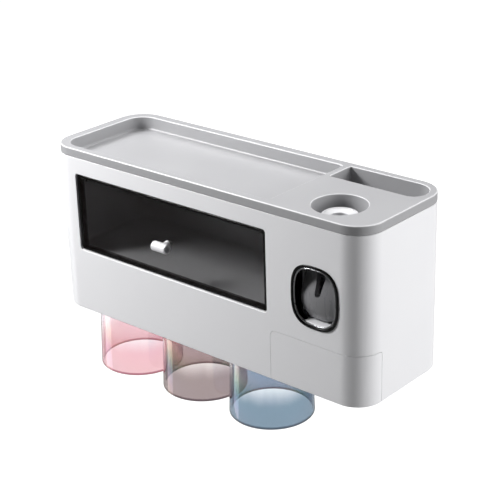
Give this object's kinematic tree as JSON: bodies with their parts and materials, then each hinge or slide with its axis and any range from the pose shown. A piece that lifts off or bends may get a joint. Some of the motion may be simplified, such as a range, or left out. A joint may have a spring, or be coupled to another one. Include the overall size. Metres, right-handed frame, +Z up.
{
  "type": "toothpaste dispenser",
  "caption": "Wall-hung bathroom box with a push-lever paste pump behind an oval window, a top tray, a smoked flip door and cups hung mouth down on magnets.",
  "frame": {"origin": "centre of the adhesive pad's back face, on the wall", "axes": "+Z up, +Y into the wall, +X to the right of someone who faces the dispenser"},
  "size_m": [0.36, 0.1325, 0.2342],
  "materials": {
    "white_abs": "satin moulded ABS",
    "grey_abs": "satin moulded ABS",
    "smoked_acrylic": "polished, see-through",
    "black_gloss": "gloss",
    "chrome_trim": "bright plated",
    "lever_grey": "satin",
    "dark_nozzle": "moulded",
    "zinc_steel": "zinc plated",
    "silicone": "translucent, matte",
    "adhesive_foam": "closed-cell foam tape",
    "pink_styrene": "clear tinted, polished",
    "taupe_styrene": "clear tinted, polished",
    "blue_styrene": "clear tinted, polished"
  },
  "bodies": {
    "wall_mount": {"wall_plate": "white_abs", "adhesive_pad": "adhesive_foam"},
    "unit": {"housing": "white_abs", "tray": "grey_abs", "storage_tub": "white_abs", "back_panel": "white_abs", "window_bezel": "black_gloss", "bezel_trim": "chrome_trim", "drip_lip": "white_abs", "pump_frame": "white_abs", "lever_pin": "zinc_steel", "lever_spring": "zinc_steel", "squeeze_tube": "silicone", "inlet_adapter": "white_abs", "inlet_seal": "silicone", "outlet_valve": "silicone", "outlet_nozzle": "dark_nozzle", "magnet_1": "zinc_steel", "magnet_2": "zinc_steel", "magnet_3": "zinc_steel", "back_screw_1": "zinc_steel", "back_screw_2": "zinc_steel", "back_screw_3": "zinc_steel", "back_screw_4": "zinc_steel", "back_screw_5": "zinc_steel", "pump_screw_1": "zinc_steel", "pump_screw_2": "zinc_steel", "pump_screw_3": "zinc_steel", "pump_screw_4": "zinc_steel"},
    "flip_door": {"door": "smoked_acrylic", "hinge_pin_left": "zinc_steel", "hinge_pin_right": "zinc_steel", "knob": "white_abs", "knob_screw": "zinc_steel"},
    "lever": {"push_lever": "lever_grey"},
    "pump_plunger": {"plunger": "white_abs"},
    "cover": {"access_cover": "white_abs"},
    "pink_cup": {"cup_1": "pink_styrene", "cup_disc_1": "zinc_steel"},
    "taupe_cup": {"cup_2": "taupe_styrene", "cup_disc_2": "zinc_steel"},
    "blue_cup": {"cup_3": "blue_styrene", "cup_disc_3": "zinc_steel"}
  },
  "joints": [
    {"name": "unit_lift", "type": "slide", "parent": "wall_mount", "child": "unit", "axis": [0, 0, 1], "range_m": [0, 0.009]},
    {"name": "door_flip", "type": "hinge", "parent": "unit", "child": "flip_door", "pos_m": [-0.0345, -0.1168, 0.038], "axis": [-1, 0, 0], "range_deg": [0, 90]},
    {"name": "lever_swing", "type": "hinge", "parent": "unit", "child": "lever", "pos_m": [0.1305, -0.108, 0.038], "axis": [1, 0, 0], "range_deg": [0, 10], "stiffness_Nm_per_rad": 0.15, "springref_deg": -11.46, "deforming": ["lever_spring"]},
    {"name": "plunger_slide", "type": "slide", "parent": "unit", "child": "pump_plunger", "axis": [0, 1, 0], "range_m": [0, 0.0035], "deforming": ["squeeze_tube"]},
    {"name": "cover_pull", "type": "slide", "parent": "unit", "child": "cover", "axis": [0, -1, 0], "range_m": [0, 0.03]},
    {"name": "cup_pull_1", "type": "slide", "parent": "unit", "child": "pink_cup", "axis": [0, 0, -1], "range_m": [0, 0.05]},
    {"name": "cup_pull_2", "type": "slide", "parent": "unit", "child": "taupe_cup", "axis": [0, 0, -1], "range_m": [0, 0.05]},
    {"name": "cup_pull_3", "type": "slide", "parent": "unit", "child": "blue_cup", "axis": [0, 0, -1], "range_m": [0, 0.05]}
  ],
  "couplings": [
    {"joint": "plunger_slide", "follows": "lever_swing", "m_per_rad": 0.02}
  ]
}
